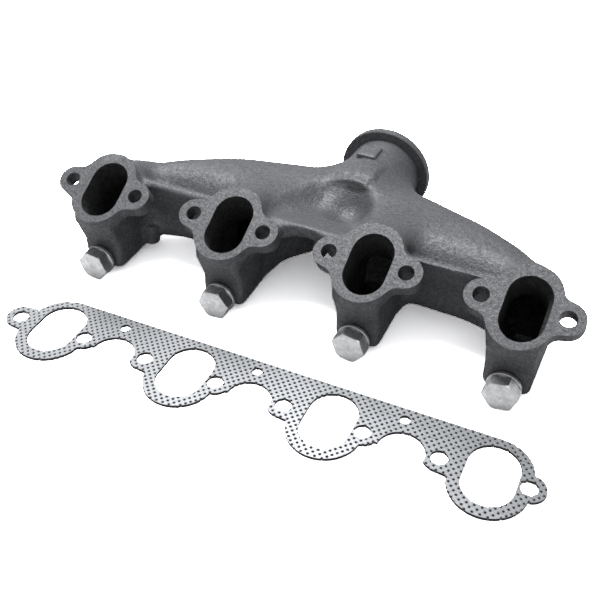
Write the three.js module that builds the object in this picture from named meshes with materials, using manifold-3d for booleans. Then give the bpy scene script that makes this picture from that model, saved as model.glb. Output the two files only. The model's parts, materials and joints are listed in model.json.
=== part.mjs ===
// Four-port log exhaust manifold with its air-port plugs and port gasket. Millimetres, +Z up.
//
// The manifold rests on a flat surface on its four plug collars and the rim of its outlet flange. X runs along the
// row of ports, Y from the ports back to the outlet, Z up. In the working frame x = 0 is the middle of the row,
// y = 0 is the line of bolt holes on the port face and z = 0 is the surface. The port face is tilted back, and its
// own frame has x along the row, v up the face and w out of it.

import * as THREE from 'three';
import { ConvexGeometry } from 'three/addons/geometries/ConvexGeometry.js';
import { mergeVertices } from 'three/addons/utils/BufferGeometryUtils.js';
import Module from 'manifold-3d';

const wasm = await Module();
wasm.setup();

// ---- Driving dimensions ------------------------------------------------------------------------------------------

// port face
const portCount = 4;
const portPitch = 124.46;
const faceTilt = THREE.MathUtils.degToRad(29.5);
const faceHeight = 78.6;
const flangeThickness = 11;
const flangeRadius = 25.7;
const flangeStraight = 18.6;
const boltSpacing = 65.2;
const boltHoleRadius = 6.5;
const earRadius = 13.3;
const portRadius = 17.25;
const portStraight = 19.2;
const portShiftX = 1.8;
const portShiftV = -1.3;

// collector log, two arms that meet at the outlet
const logHeight = 62;
const logFloorGap = 13;
const wall = 6;
const endReach = 18;
const outletShift = 6.5;
const backAtPorts = 80;
const backAtOutlet = 138;
const frontAtBays = 36;
const frontAtMiddle = 72;
const frontAtEnds = 12;
const notchHalfWidth = 16;
const notchFlank = 24;

// runner elbow under each port, with the air-port boss at its foot
const bossFaceY = -16;
const bossHalfWidth = 19.5;
const bossBottom = 2.5;
const bossTop = 28;
const footLength = 44;
const footPadRadius = 7;
const footPadLow = 8;
const footPadY = 28;
const footPadSink = 2.3;

// webs that tie neighbouring flanges
const webDepth = 8;
const webLow = 8;
const webHigh = 17;
const webFootHeight = 20;
const webThickness = 8;

// outlet
const outletRadius = 44;
const outletHeight = outletRadius;
const outletBore = 29;
const outletRimThickness = 8;
const outletFaceY = 191;
const neckRadius = 35;
const neckLength = 40;
const neckRootDepth = 37;
const neckRootTaper = 6;
const lugWidth = 21;
const lugLength = 19;
const lugHeight = 4;
const lugGap = 6;

// air-port plugs
const plugRadius = 8;
const plugShankLength = 17;
const plugCollarRadius = 14;
const plugCollarThickness = 3;
const plugHexAcrossFlats = 25.4;
const plugHexLength = 11;
const plugChamfer = 1.6;
const plugTurns = [8, -6, 10, -10];
const washerRadius = 12.4;
const washerThickness = 2.2;

// gasket, a perforated steel sandwich
const gasketSkin = 0.6;
const gasketCore = 0.8;
const gasketGapToRow = 101;
const gasketShiftX = 9;
const gasketTurn = THREE.MathUtils.degToRad(1);
const gasketPortRadius = 20.3;
const gasketPortStraight = 18;
const gasketPortShift = 6;
const gasketRim = 9.5;
const gasketEarRadius = 12.6;
const gasketEdge = 36;
const gasketArchRadius = 18;
const gasketArchShift = 2;
const gasketArchTop = 12.4;
const gasketPinRadius = 4.2;
const gasketPinShift = -5;
const gasketPinHeight = 24.4;

// clearances and fineness
const fitGap = 0.3;
const sectionPoints = 16;

// ---- Solids ------------------------------------------------------------------------------------------------------

// A closed three.js geometry as a solid.
function solid(geometry) {
  const bare = geometry.index ? geometry.toNonIndexed() : geometry.clone();
  bare.deleteAttribute('normal');
  bare.deleteAttribute('uv');
  const merged = mergeVertices(bare, 1e-4);
  return new wasm.Manifold(new wasm.Mesh({
    numProp: 3,
    vertProperties: new Float32Array(merged.attributes.position.array),
    triVerts: new Uint32Array(merged.index.array),
  }));
}

// A solid as a three.js geometry.
function toGeometry(body) {
  const mesh = body.getMesh();
  const geometry = new THREE.BufferGeometry();
  geometry.setAttribute('position', new THREE.BufferAttribute(new Float32Array(mesh.vertProperties), 3));
  geometry.setIndex(new THREE.BufferAttribute(new Uint32Array(mesh.triVerts), 1));
  return geometry;
}

function union(bodies) {
  return bodies.reduce((sum, body) => sum.add(body));
}

function hull(points) {
  return solid(new ConvexGeometry(points));
}

// An outline pushed from depth low to depth high along +Z, moved by a matrix if one is given.
function slab(shape, low, high, matrix = null, segments = 8) {
  const settings = { depth: high - low, bevelEnabled: false, curveSegments: segments };
  const geometry = new THREE.ExtrudeGeometry(shape, settings);
  geometry.translate(0, 0, low);
  if (matrix) {
    geometry.applyMatrix4(matrix);
  }
  return solid(geometry);
}

// A round bar along +Y from y = low to y = high about (x, z).
function barAlongY(radius, x, z, low, high, segments = 20) {
  const geometry = new THREE.CylinderGeometry(radius, radius, high - low, segments);
  geometry.translate(x, (low + high) / 2, z);
  return solid(geometry);
}

// An upright racetrack: half circles of the radius above and below a straight stretch.
function racetrack(x, v, radius, straight) {
  const shape = new THREE.Shape();
  shape.absarc(x, v + straight / 2, radius, 0, Math.PI, false);
  shape.absarc(x, v - straight / 2, radius, Math.PI, 2 * Math.PI, false);
  shape.closePath();
  return shape;
}

function disc(x, v, radius) {
  const shape = new THREE.Shape();
  shape.absarc(x, v, radius, 0, 2 * Math.PI, false);
  return shape;
}

// ---- Port face frame ---------------------------------------------------------------------------------------------

const portPlaces = Array.from({ length: portCount }, (_, i) => (i - (portCount - 1) / 2) * portPitch);
const faceMatrix = new THREE.Matrix4().makeRotationX(faceTilt).setPosition(0, 0, faceHeight);

// A point of the tilted port face's frame in the working frame.
function onFace(x, v, w) {
  return new THREE.Vector3(x, v, w).applyMatrix4(faceMatrix);
}

// The points of a racetrack at one depth below the port face.
function facePoints(x, v, radius, straight, w) {
  return racetrack(x, v, radius, straight).getPoints(6).map((p) => onFace(p.x, p.y, w));
}

// ---- Collector log -----------------------------------------------------------------------------------------------

const logMiddle = logFloorGap + logHeight / 2;
const rowEnd = (portCount - 1) / 2 * portPitch;
const logEnd = rowEnd + endReach;

// The log's rear edge runs straight from the ends of the row up to the outlet.
function rearEdge(x) {
  const away = Math.min(Math.abs(x - outletShift) / rowEnd, 1.1);
  return backAtOutlet + (backAtPorts - backAtOutlet) * away;
}

// Its front edge comes forward at the ends of the row, and has a deep notch in the middle, between the two arms.
function frontEdge(x) {
  const intoArm = THREE.MathUtils.clamp((Math.abs(x) - notchHalfWidth) / notchFlank, 0, 1);
  const intoEnd = THREE.MathUtils.clamp(Math.abs(x) / portPitch - 1, 0, 1) * 2;
  return frontAtMiddle + (frontAtBays - frontAtMiddle) * intoArm + (frontAtEnds - frontAtBays) * intoEnd;
}

// One oval section of the log across X, smaller by an inset, and by a share near its ends.
function logSection(x, inset, share = 1) {
  const front = frontEdge(x) + inset;
  const back = rearEdge(x) - inset;
  const halfWidth = (back - front) / 2 * share;
  const halfHeight = (logHeight / 2 - inset) * share;
  const points = [];
  for (let i = 0; i < sectionPoints; i += 1) {
    const a = i / sectionPoints * 2 * Math.PI;
    const y = Math.sign(Math.cos(a)) * Math.abs(Math.cos(a)) ** 0.8 * halfWidth;
    const z = Math.sign(Math.sin(a)) * Math.abs(Math.sin(a)) ** 0.8 * halfHeight;
    points.push(new THREE.Vector3(x, (front + back) / 2 + y, logMiddle + z));
  }
  return points;
}

// The log as short convex lengths from section to section, each end closed by two smaller sections.
function logBody(inset) {
  const tip = logEnd - inset;
  const sections = [logSection(-tip, inset, 0.45), logSection(-tip + 7, inset, 0.8), logSection(-tip + 20, inset)];
  const notch = notchHalfWidth + notchFlank;
  for (const place of [-portPitch, -notch, -notchHalfWidth, notchHalfWidth, notch, portPitch]) {
    sections.push(logSection(place, inset));
  }
  sections.push(logSection(tip - 20, inset), logSection(tip - 7, inset, 0.8), logSection(tip, inset, 0.45));
  const lengths = [];
  for (let i = 1; i < sections.length; i += 1) {
    lengths.push(hull([...sections[i - 1], ...sections[i]]));
  }
  return union(lengths);
}

// ---- Runners -----------------------------------------------------------------------------------------------------

// An upright oval across the row.
function ovalSection(x, y, halfWidth, bottom, top) {
  const shape = new THREE.Shape();
  shape.absellipse(x, (bottom + top) / 2, halfWidth, (top - bottom) / 2, 0, 2 * Math.PI, false, 0);
  return shape.getPoints(6).map((p) => new THREE.Vector3(p.x, y, p.y));
}

// The upright section of the elbow's foot: flat top, rounded bottom.
function footSection(x, y, halfWidth, bottom, top) {
  const points = [new THREE.Vector3(x - halfWidth, y, top), new THREE.Vector3(x + halfWidth, y, top)];
  const spring = bottom + (top - bottom) / 2;
  for (let i = 0; i <= 8; i += 1) {
    const a = Math.PI + i / 8 * Math.PI;
    points.push(new THREE.Vector3(
      x + Math.cos(a) * halfWidth,
      y,
      spring + Math.sin(a) * (spring - bottom),
    ));
  }
  return points;
}

// The runner under one port: a throat that leans in from the flange to the top of the boss and back into the log,
// and the upright foot behind the boss face.
function runnerBody(x) {
  const throat = hull([
    ...facePoints(x, 0, flangeRadius, flangeStraight, -2),
    new THREE.Vector3(x - bossHalfWidth, bossFaceY, bossTop),
    new THREE.Vector3(x + bossHalfWidth, bossFaceY, bossTop),
    ...footSection(x, bossFaceY + footLength, bossHalfWidth, logFloorGap, bossTop),
    ...ovalSection(x, frontAtBays + 12, bossHalfWidth, logFloorGap + 2, logFloorGap + logHeight - 2),
  ]);
  const foot = hull([
    ...footSection(x, bossFaceY, bossHalfWidth, bossBottom, bossTop),
    ...footSection(x, bossFaceY + footLength, bossHalfWidth, logFloorGap - 4, bossTop),
    new THREE.Vector3(x, bossFaceY + footLength / 2, faceHeight / 2),
  ]);
  return throat.add(foot);
}

// The gas way inside it, open at the port.
function runnerPassage(x) {
  const mouth = facePoints(x + portShiftX, portShiftV, portRadius, portStraight, 1);
  const throat = facePoints(x + portShiftX, portShiftV, portRadius, portStraight, -18);
  const throatTop = facePoints(x + portShiftX, portShiftV, portRadius, portStraight, -16);
  const foot = footSection(x, bossFaceY + wall + 3, bossHalfWidth - wall, bossBottom + wall, bossTop - 4);
  const logTop = logFloorGap + logHeight - 1.5 * wall;
  const inLog = ovalSection(x, frontAtBays + 12, bossHalfWidth - wall, logFloorGap + 1.5 * wall, logTop);
  return hull([...mouth, ...throat]).add(hull([...throatTop, ...foot, ...inLog]));
}

// ---- Casting -----------------------------------------------------------------------------------------------------

// The flange plate round one port: a racetrack with two ears.
function flangeBody(x) {
  const plate = slab(racetrack(x, 0, flangeRadius, flangeStraight), -flangeThickness, 0, faceMatrix);
  const ears = [-1, 1].map((side) => {
    const ear = disc(x + side * boltSpacing / 2, 0, earRadius).getPoints(9);
    const root = disc(x, 0, earRadius + 4).getPoints(3);
    return hull([...ear, ...root].flatMap((p) => [onFace(p.x, p.y, 0), onFace(p.x, p.y, -flangeThickness)]));
  });
  return union([plate, ...ears]);
}

// The web between two neighbouring ports, with the wall below it that runs down to the log.
function webBody(left, right) {
  const points = [];
  for (const x of [left + boltSpacing / 2, right - boltSpacing / 2]) {
    points.push(onFace(x, webLow, -webDepth));
    points.push(onFace(x, webHigh, -webDepth));
    points.push(new THREE.Vector3(x, frontAtBays + 4, webFootHeight));
    points.push(new THREE.Vector3(x, frontAtBays + 24, webFootHeight + 4));
    points.push(new THREE.Vector3(x, frontAtBays + 24, logMiddle + 18));
  }
  return hull(points);
}

// The middle web has no wall below it: it is a plate that spans the notch and slopes down to the top of the log.
function middleWeb(left, right) {
  const points = [];
  for (const x of [left + boltSpacing / 2, right - boltSpacing / 2]) {
    points.push(onFace(x, webLow, -webDepth));
    points.push(onFace(x, webHigh, -webDepth));
    points.push(onFace(x, webLow, -webDepth - webThickness));
    points.push(new THREE.Vector3(x, frontAtMiddle + 14, logMiddle + 26));
    points.push(new THREE.Vector3(x, frontAtMiddle + 14, logMiddle + 26 - 2 * webThickness));
  }
  return hull(points);
}

// The neck swells from its root inside the log to the outlet flange, with a raised lug on top.
function outletBody() {
  const start = backAtOutlet - neckRootDepth;
  const profile = [
    new THREE.Vector2(0, start),
    new THREE.Vector2(neckRadius - neckRootTaper, start),
    new THREE.Vector2(neckRadius, outletFaceY - neckLength),
    new THREE.Vector2(neckRadius, outletFaceY - outletRimThickness),
    new THREE.Vector2(outletRadius, outletFaceY - outletRimThickness),
    new THREE.Vector2(outletRadius, outletFaceY),
    new THREE.Vector2(0, outletFaceY),
  ];
  const neck = new THREE.LatheGeometry(profile, 40);
  neck.translate(outletShift, 0, outletHeight);
  const lug = new THREE.BoxGeometry(lugWidth, lugLength, neckRadius + lugHeight);
  const lugY = outletFaceY - outletRimThickness - lugGap - lugLength / 2;
  lug.translate(outletShift, lugY, outletHeight + (neckRadius + lugHeight) / 2);
  return solid(neck).add(solid(lug));
}

// A round cast pad under the log, beside the foot of the first runner.
function footPad() {
  const height = logMiddle - footPadLow;
  const pad = new THREE.CylinderGeometry(footPadRadius, footPadRadius, height, 16);
  pad.rotateX(Math.PI / 2);
  pad.translate(portPlaces[0] + bossHalfWidth + footPadRadius - footPadSink, footPadY, footPadLow + height / 2);
  return solid(pad);
}

function castingBody() {
  const outer = [logBody(0), outletBody(), footPad()];
  const passages = [
    logBody(wall),
    barAlongY(outletBore, outletShift, outletHeight, frontAtMiddle + 4 * wall, outletFaceY + 1, 32),
  ];
  const holes = [];
  portPlaces.forEach((x, i) => {
    outer.push(flangeBody(x), runnerBody(x));
    passages.push(runnerPassage(x));
    for (const side of [-1, 1]) {
      const hole = disc(x + side * boltSpacing / 2, 0, boltHoleRadius);
      holes.push(slab(hole, -3 * flangeThickness, 1, faceMatrix));
    }
    holes.push(barAlongY(plugRadius + fitGap, x, plugCollarRadius, bossFaceY - 1, bossFaceY + plugShankLength));
    if (i > 0) {
      const isMiddle = i === portCount / 2;
      outer.push(isMiddle ? middleWeb(portPlaces[i - 1], x) : webBody(portPlaces[i - 1], x));
    }
  });
  return union(outer).subtract(union([...passages, ...holes]));
}

// ---- Plugs -------------------------------------------------------------------------------------------------------

// A plug about +Y with its seat at y = 0: shank behind, collar and hexagon in front.
function plugBody() {
  const hexRadius = plugHexAcrossFlats / 2 / Math.cos(Math.PI / 6);
  const hexBack = -plugCollarThickness;
  const hexFront = hexBack - plugHexLength;
  const hex = new THREE.CylinderGeometry(hexRadius, hexRadius, plugHexLength, 6);
  hex.rotateY(Math.PI / 6);
  hex.translate(0, (hexBack + hexFront) / 2, 0);
  const crown = new THREE.LatheGeometry([
    new THREE.Vector2(0, hexFront - 0.01),
    new THREE.Vector2(hexRadius - plugChamfer, hexFront - 0.01),
    new THREE.Vector2(hexRadius + 0.1, hexFront + plugChamfer),
    new THREE.Vector2(hexRadius + 0.1, hexBack + 1),
    new THREE.Vector2(0, hexBack + 1),
  ], 24);
  const stem = new THREE.LatheGeometry([
    new THREE.Vector2(0, hexBack - 1),
    new THREE.Vector2(plugCollarRadius - 2, hexBack - 1),
    new THREE.Vector2(plugCollarRadius, hexBack),
    new THREE.Vector2(plugCollarRadius, 0),
    new THREE.Vector2(plugRadius, 0),
    new THREE.Vector2(plugRadius, plugShankLength),
    new THREE.Vector2(0, plugShankLength),
  ], 24);
  return solid(hex).intersect(solid(crown)).add(solid(stem));
}

function washerGeometry() {
  return new THREE.LatheGeometry([
    new THREE.Vector2(plugRadius + fitGap, 0),
    new THREE.Vector2(washerRadius, 0),
    new THREE.Vector2(washerRadius, washerThickness),
    new THREE.Vector2(plugRadius + fitGap, washerThickness),
    new THREE.Vector2(plugRadius + fitGap, 0),
  ], 24);
}

// ---- Gasket ------------------------------------------------------------------------------------------------------

// One layer of the gasket, lying flat from z = low to z = high, with the hole line at y = 0.
function gasketLayer(low, high) {
  const bodies = [];
  const holes = [];
  const add = (shape) => bodies.push(slab(shape, low, high, null, 5));
  const cut = (shape) => holes.push(slab(shape, low - 1, high + 1, null, 5));
  const strip = new THREE.Shape();
  const stripLow = gasketArchTop - gasketArchRadius;
  strip.moveTo(-rowEnd, stripLow);
  strip.lineTo(rowEnd, stripLow);
  strip.lineTo(rowEnd + gasketPortShift, gasketEdge);
  strip.lineTo(-rowEnd + gasketPortShift, gasketEdge);
  add(strip);
  portPlaces.forEach((x, i) => {
    const middle = x + gasketPortShift;
    add(racetrack(middle, 0, gasketPortRadius + gasketRim, gasketPortStraight));
    cut(racetrack(middle, 0, gasketPortRadius, gasketPortStraight));
    for (const side of [-1, 1]) {
      const ear = disc(x + side * boltSpacing / 2, 0, gasketEarRadius).getPoints(6);
      const root = disc(middle + side * gasketPortRadius, 0, gasketRim + 4).getPoints(3);
      bodies.push(hull([...ear, ...root].flatMap((p) => [
        new THREE.Vector3(p.x, p.y, low),
        new THREE.Vector3(p.x, p.y, high),
      ])));
      cut(disc(x + side * boltSpacing / 2, 0, boltHoleRadius));
    }
    if (i > 0) {
      const bay = x - portPitch / 2;
      cut(disc(bay + gasketArchShift, stripLow, gasketArchRadius));
      cut(disc(bay + gasketPinShift, gasketPinHeight, gasketPinRadius));
    }
  });
  return union(bodies).subtract(union(holes));
}

// ---- Scene graph -------------------------------------------------------------------------------------------------

const castIron = { color: 0x4b4d50, roughness: 0.72, metalness: 0.35 };
const plugSteel = { color: 0xc9cbcc, roughness: 0.28, metalness: 1 };
const washerSteel = { color: 0x9ea1a3, roughness: 0.35, metalness: 1 };
const gasketSteel = { color: 0xb4b8bb, roughness: 0.4, metalness: 0.9 };
const graphite = { color: 0x1c1d1f, roughness: 0.9, metalness: 0.1 };

function part(name, geometry, finish) {
  const mesh = new THREE.Mesh(geometry, new THREE.MeshStandardMaterial(finish));
  mesh.name = name;
  return mesh;
}

const assembly = new THREE.Group();
assembly.add(part('manifold_casting', toGeometry(castingBody()), castIron));

const plugGeometry = toGeometry(plugBody());
const washerSeatY = bossFaceY - fitGap - washerThickness;
portPlaces.forEach((x, i) => {
  const washer = part(`plug_washer_${i + 1}`, washerGeometry(), washerSteel);
  washer.position.set(x, washerSeatY, plugCollarRadius);
  const plug = part(`air_port_plug_${i + 1}`, plugGeometry.clone(), plugSteel);
  plug.position.set(x, washerSeatY - fitGap, plugCollarRadius);
  plug.rotation.y = THREE.MathUtils.degToRad(plugTurns[i]);
  assembly.add(washer, plug);
});

const gasket = new THREE.Group();
gasket.position.set(gasketShiftX, -gasketGapToRow, 0);
gasket.rotation.z = gasketTurn;
const coreLow = gasketSkin + fitGap;
const topLow = coreLow + gasketCore + fitGap;
gasket.add(part('gasket_bottom_skin', toGeometry(gasketLayer(0, gasketSkin)), gasketSteel));
gasket.add(part('gasket_core', toGeometry(gasketLayer(coreLow, coreLow + gasketCore)), graphite));
gasket.add(part('gasket_top_skin', toGeometry(gasketLayer(topLow, topLow + gasketSkin)), gasketSteel));
assembly.add(gasket);

// The frame's origin is under the middle of the whole part's box.
assembly.updateMatrixWorld(true);
const extent = new THREE.Box3().setFromObject(assembly, true);
const group = new THREE.Group();
assembly.position.set(-(extent.min.x + extent.max.x) / 2, -(extent.min.y + extent.max.y) / 2, -extent.min.z);
group.add(assembly);

export default group;
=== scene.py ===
"""Finished surfaces of a four-port log exhaust manifold, its air-port plugs, their washers and its port
gasket.

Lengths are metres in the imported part's frame: X along the row of ports, Y back to the outlet, Z up from the
surface that the manifold rests on. The port face leans back; its own coordinates are x along the row, v up
it and w out of it."""

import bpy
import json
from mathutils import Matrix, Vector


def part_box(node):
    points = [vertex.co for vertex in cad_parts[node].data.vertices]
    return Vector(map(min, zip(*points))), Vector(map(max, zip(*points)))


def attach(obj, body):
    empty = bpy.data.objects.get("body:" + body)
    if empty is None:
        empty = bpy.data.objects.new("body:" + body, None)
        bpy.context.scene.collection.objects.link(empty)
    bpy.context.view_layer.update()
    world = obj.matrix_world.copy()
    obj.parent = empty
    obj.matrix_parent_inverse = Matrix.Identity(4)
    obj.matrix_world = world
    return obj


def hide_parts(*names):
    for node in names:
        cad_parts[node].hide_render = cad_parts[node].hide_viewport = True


bl_info = {
    "name": "Exhaust Manifold Finish",
    "version": (1, 0, 0),
    "blender": (4, 5, 0),
    "location": "3D View > Sidebar > Manifold",
    "description": "Builds the cast, turned and perforated surfaces of a log exhaust manifold",
    "category": "Object",
}

import itertools
import json
import math

import bmesh
import bpy
import numpy as np
import openvdb
from mathutils import Matrix, Vector

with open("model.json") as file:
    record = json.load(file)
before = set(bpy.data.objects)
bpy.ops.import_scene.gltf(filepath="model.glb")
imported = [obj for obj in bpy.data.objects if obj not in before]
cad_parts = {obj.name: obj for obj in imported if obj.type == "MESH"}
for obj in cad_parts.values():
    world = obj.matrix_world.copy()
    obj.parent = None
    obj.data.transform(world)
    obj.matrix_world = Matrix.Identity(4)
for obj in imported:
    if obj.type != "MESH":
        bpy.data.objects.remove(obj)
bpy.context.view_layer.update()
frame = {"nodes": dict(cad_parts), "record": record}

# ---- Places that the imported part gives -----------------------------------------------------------

PORTS = range(1, 5)
MOUNTS = {mount["name"]: mount for mount in frame["record"]["mounts"]}
SHAPES = {name: [np.array(corner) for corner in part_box(name)] for name in frame["nodes"]}


def middle(name):
    """The middle of a node's box."""
    low, high = SHAPES[name]
    return (low + high) / 2


PORT_X = [middle(f"air_port_plug_{i}")[0] for i in PORTS]
ROW_X = float(np.mean(PORT_X))
PITCH = (PORT_X[-1] - PORT_X[0]) / (len(PORT_X) - 1)
PLUG_Z = float(middle("air_port_plug_1")[2])
BOSS_Y = float(SHAPES["plug_washer_1"][1][1]) + 0.0003
FACE_NORMAL = np.array(MOUNTS["port_face_1"]["axis"], float)
FACE_UP = np.array([0, FACE_NORMAL[2], -FACE_NORMAL[1]])
FACE_RIM = 0.0305
FACE_ORIGIN = np.array(MOUNTS["port_face_1"]["pos_m"], float) - FACE_RIM * FACE_UP
HOLE_Y = float(FACE_ORIGIN[1])
FACE_Z = float(FACE_ORIGIN[2])
OUTLET_RIM = 0.0365
OUTLET_X = MOUNTS["outlet_face"]["pos_m"][0] - OUTLET_RIM
OUTLET_Y = MOUNTS["outlet_face"]["pos_m"][1]
OUTLET_Z = MOUNTS["outlet_face"]["pos_m"][2]


# ---- Settings ------------------------------------------------------------------------------------

def length(name, description, default):
    """A length setting in metres."""
    return bpy.props.FloatProperty(
        name=name, description=description, default=default, min=0.0, subtype="DISTANCE", unit="LENGTH",
    )


def colour(name, description, default):
    """A colour setting."""
    return bpy.props.FloatVectorProperty(
        name=name, description=description, default=default, size=4, min=0.0, max=1.0, subtype="COLOR",
    )


def number(name, description, default):
    """A plain number setting."""
    return bpy.props.FloatProperty(name=name, description=description, default=default, min=0.0)


def tilt(name, description, degrees):
    """An angle setting, given in degrees."""
    return bpy.props.FloatProperty(
        name=name, description=description, default=math.radians(degrees), subtype="ANGLE", unit="ROTATION",
    )


class CastingSettings(bpy.types.PropertyGroup):
    """Sizes and colours of the iron casting."""

    cell: length("Cell", "Spacing of the grid that the cast skin is worked out on", 0.0015)
    bore_cell: length("Bore cell", "Spacing of the grid for the gas ways", 0.0024)
    flange_radius: length("Flange radius", "Half width of a port flange", 0.0257)
    flange_half: length("Flange straight", "Half the straight part of a port flange", 0.0093)
    flange_depth: length("Flange depth", "Thickness of a port flange", 0.0140)
    ear_radius: length("Ear radius", "Radius of a bolt ear", 0.0133)
    ear_reach: length("Ear reach", "Distance of a bolt hole from the middle of its port", 0.0326)
    bolt_radius: length("Bolt hole radius", "Radius of a bolt hole", 0.0065)
    port_radius: length("Port radius", "Half width of a port", 0.01725)
    port_half: length("Port straight", "Half the straight part of a port", 0.0096)
    wall: length("Wall", "Thickness of the iron round the gas", 0.006)
    disc_radius: length("Outlet flange radius", "Radius of the outlet flange", 0.044)
    disc_depth: length("Outlet flange depth", "Thickness of the outlet flange", 0.008)
    bore_radius: length("Outlet bore", "Radius of the outlet bore", 0.029)
    neck_radius: length("Neck radius", "Outer radius of the neck behind the log", 0.035)
    thread_radius: length("Plug bore", "Radius of the bore for a plug", 0.0083)
    iron: colour("Cast iron", "Colour of the cast skin", (0.085, 0.088, 0.094, 1.0))
    milled: colour("Milled iron", "Colour of the machined port faces", (0.105, 0.108, 0.114, 1.0))


class PlugSettings(bpy.types.PropertyGroup):
    """Sizes and colours of the plugs and their washers."""

    flats: length("Across flats", "Width of the hexagon", 0.0254)
    hex_length: length("Hexagon length", "Length of the hexagon", 0.011)
    chamfer: length("Chamfer", "Width of the chamfer on the corners", 0.0016)
    collar_radius: length("Collar radius", "Radius of the collar", 0.014)
    collar_depth: length("Collar depth", "Thickness of the collar", 0.003)
    shank_radius: length("Thread radius", "Outer radius of the thread", 0.008)
    shank_length: length("Thread length", "Length of the threaded shank", 0.017)
    pitch: length("Pitch", "Advance of the thread in one turn", 0.0015)
    steel: colour("Plug steel", "Colour of the plated plug", (0.78, 0.79, 0.8, 1.0))
    washer: colour("Washer steel", "Colour of the sealing washer", (0.5, 0.51, 0.53, 1.0))


class GasketSettings(bpy.types.PropertyGroup):
    """Sizes and colours of the port gasket."""

    shift_x: length("Shift", "Distance of the gasket's middle from the row's middle", 0.009)
    gap: length("Gap", "Distance of the gasket's bolt line before the manifold's", 0.101)
    turn: tilt("Turn", "Turn of the gasket on the floor", 1.0)
    port_radius: length("Port radius", "Half width of an opening", 0.0193)
    port_half: length("Port straight", "Half the straight part of an opening", 0.009)
    port_shift: length("Port shift", "Distance of an opening from the middle of its bolt holes", 0.0053)
    rim: length("Rim", "Width of the metal round an opening", 0.0102)
    ear_radius: length("Ear radius", "Radius of an ear", 0.0126)
    ear_reach: length("Ear reach", "Distance of a bolt hole from the middle of its pair", 0.0326)
    bolt_radius: length("Bolt hole radius", "Radius of a bolt hole", 0.0065)
    edge: length("Edge", "Distance of the straight edge from the bolt line", 0.036)
    arch_radius: length("Arch radius", "Radius of the cut between two ports", 0.018)
    arch_shift: length("Arch shift", "Distance of that cut from the middle of the bay", 0.002)
    arch_top: length("Arch top", "Distance of the top of that cut from the bolt line", 0.0124)
    pin_radius: length("Pin hole radius", "Radius of the small hole in each bay", 0.0042)
    pin_shift: length("Pin shift", "Distance of the small hole from the middle of the bay", 0.005)
    pin_height: length("Pin height", "Distance of the small hole from the bolt line", 0.0244)
    hole_pitch: length("Hole pitch", "Distance between perforations in a row", 0.00555)
    hole_rise: length("Row pitch", "Distance between rows of perforations", 0.00305)
    lattice_x: length("Lattice place", "Where a perforation of an even row stands along the row", 0.0)
    lattice_y: length("Lattice height", "Where the middle row of perforations stands", 0.0003)
    hole_radius: length("Hole radius", "Radius of a perforation", 0.00095)
    flare: length("Flare", "Width of the crater round a perforation", 0.00045)
    steel: colour("Gasket steel", "Colour of the perforated steel skin", (0.345, 0.355, 0.37, 1.0))
    core: colour("Graphite", "Colour of the core", (0.018, 0.018, 0.02, 1.0))


class StageSettings(bpy.types.PropertyGroup):
    """The camera, the floor and the lights."""

    focal: number("Focal length", "Focal length in millimetres", 52.59)
    eye: bpy.props.FloatVectorProperty(
        name="Camera place", description="Where the camera stands, from the middle of the row of bolt holes",
        default=(0.2533, -0.515, 0.490), size=3, subtype="TRANSLATION", unit="LENGTH",
    )
    turn: tilt("Turn", "Turn of the camera from looking along +Y", 25.8)
    pitch: tilt("Pitch", "How far the camera looks down", 39.45)
    floor: colour("Floor", "Colour of the floor as it lights the manifold", (0.56, 0.56, 0.565, 1.0))
    exposure: number("Floor exposure", "How much brighter the floor is for the camera than for the manifold", 11.5)
    mirrored: number("Mirrored floor", "How much brighter the floor is in polished steel", 1.1)
    sky: colour("Surround", "Colour of the light from all round", (0.24, 0.24, 0.24, 1.0))
    bright: colour("Bright panel", "Colour of the bright panel", (1.0, 1.0, 1.0, 1.0))
    dark: colour("Dark patch", "Colour of the patch without light", (0.10, 0.10, 0.105, 1.0))
    sky_strength: number("Surround strength", "How strong that light is", 0.42)


# ---- Mesh making ---------------------------------------------------------------------------------

def new_object(name, points, faces):
    """An object from an array of points and lists of corners."""
    mesh = bpy.data.meshes.new(name)
    mesh.from_pydata(points.reshape(-1, 3).tolist(), [], [list(face) for face in faces])
    mesh.update()
    made = bpy.data.objects.new(name, mesh)
    bpy.context.scene.collection.objects.link(made)
    return made


def grid_faces(rows, columns, first=0):
    """The quads between neighbouring rows of a grid whose columns close on themselves."""
    i = np.arange(rows - 1)[:, None]
    j = np.arange(columns)[None, :]
    k = (j + 1) % columns
    quads = np.stack([i * columns + j, i * columns + k, (i + 1) * columns + k, (i + 1) * columns + j], axis=-1)
    return (quads.reshape(-1, 4) + first).tolist()


def tidy_mesh(made):
    """Merges doubled points, as at poles, and turns every face outwards."""
    work = bmesh.new()
    work.from_mesh(made.data)
    bmesh.ops.remove_doubles(work, verts=work.verts, dist=1e-7)
    bmesh.ops.dissolve_degenerate(work, edges=work.edges, dist=1e-9)
    bmesh.ops.recalc_face_normals(work, faces=work.faces)
    work.to_mesh(made.data)
    work.free()
    return made


def turned(name, profile, origin, axis, columns=64):
    """A turned surface: each (radius, distance) of the profile goes once round the axis. It starts and ends
    on it."""
    axis = Vector(axis).normalized()
    side = axis.orthogonal().normalized()
    other = axis.cross(side)
    angle = np.linspace(0, 2 * math.pi, columns, endpoint=False)
    around = np.cos(angle)[:, None] * np.array(side) + np.sin(angle)[:, None] * np.array(other)
    profile = np.array(profile, float)
    points = np.array(origin) + profile[:, 1, None, None] * np.array(axis) + profile[:, 0, None, None] * around
    return tidy_mesh(new_object(name, points, grid_faces(len(profile), columns)))


def block(name, low, high, origin, basis):
    """A closed box between two corners in the coordinates of a basis at an origin."""
    corner = np.array(list(itertools.product(*zip(low, high))), float)
    faces = [(0, 1, 3, 2), (4, 6, 7, 5), (0, 4, 5, 1), (2, 3, 7, 6), (0, 2, 6, 4), (1, 5, 7, 3)]
    return tidy_mesh(new_object(name, np.array(origin) + corner @ np.array(basis), faces))


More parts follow.
